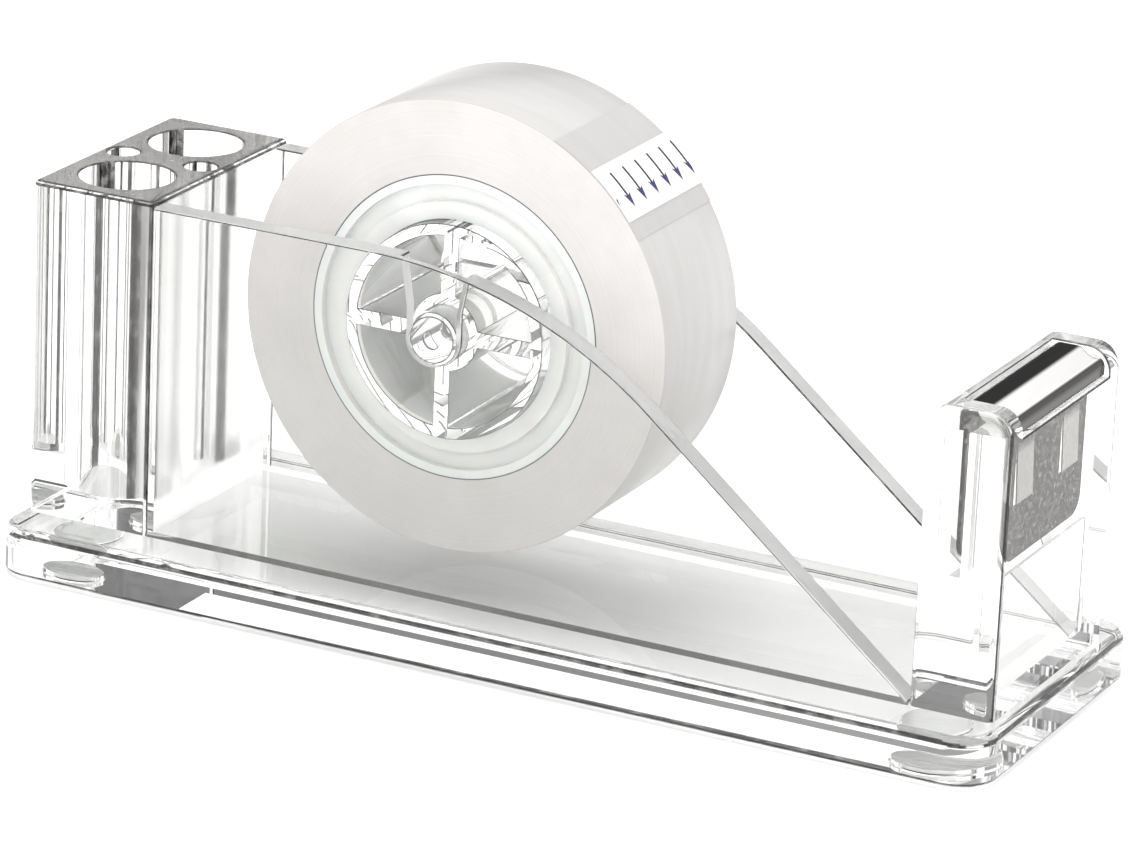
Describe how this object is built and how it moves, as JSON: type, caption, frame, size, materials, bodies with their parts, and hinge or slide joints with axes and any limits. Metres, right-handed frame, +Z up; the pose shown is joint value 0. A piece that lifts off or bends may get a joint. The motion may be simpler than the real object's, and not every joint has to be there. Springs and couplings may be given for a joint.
{
  "type": "tape dispenser",
  "caption": "Clear desk tape dispenser: low base plate, block with pen bores, curved side walls holding a lift-out tape reel, and a post with a toothed steel cutter.",
  "frame": {"origin": "on the table, at the middle of the base plate", "axes": "+Z up, +X from the pen block to the blade post, +Y to the rear side wall"},
  "size_m": [0.13, 0.046, 0.0653],
  "materials": {
    "clear_plastic": "polished clear acrylic",
    "foot_plastic": "soft clear polyurethane, satin",
    "blade_steel": "bright rolled spring steel",
    "core_plastic": "translucent white moulded plastic",
    "tape_film": "matte frosted adhesive tape",
    "label_paper": "smooth white printed paper"
  },
  "bodies": {
    "dispenser": {"base_plate": "clear_plastic", "pen_block": "clear_plastic", "front_side_wall": "clear_plastic", "rear_side_wall": "clear_plastic", "blade_post": "clear_plastic", "cutter_blade": "blade_steel", "foot_left_front": "foot_plastic", "foot_left_rear": "foot_plastic", "foot_right_front": "foot_plastic", "foot_right_rear": "foot_plastic"},
    "axle_pin": {"axle": "clear_plastic"},
    "reel": {"spool_hub": "clear_plastic", "tape_core": "core_plastic", "tape_roll": "tape_film", "tape_leader": "tape_film", "tape_start_tab": "label_paper"}
  },
  "joints": [
    {"name": "axle_lift", "type": "slide", "parent": "dispenser", "child": "axle_pin", "axis": [0, 0, 1], "range_m": [0, 0.042]},
    {"name": "reel_spin", "type": "hinge", "parent": "axle_pin", "child": "reel", "pos_m": [-0.01, 0, 0.038], "axis": [0, 1, 0], "continuous": true}
  ]
}
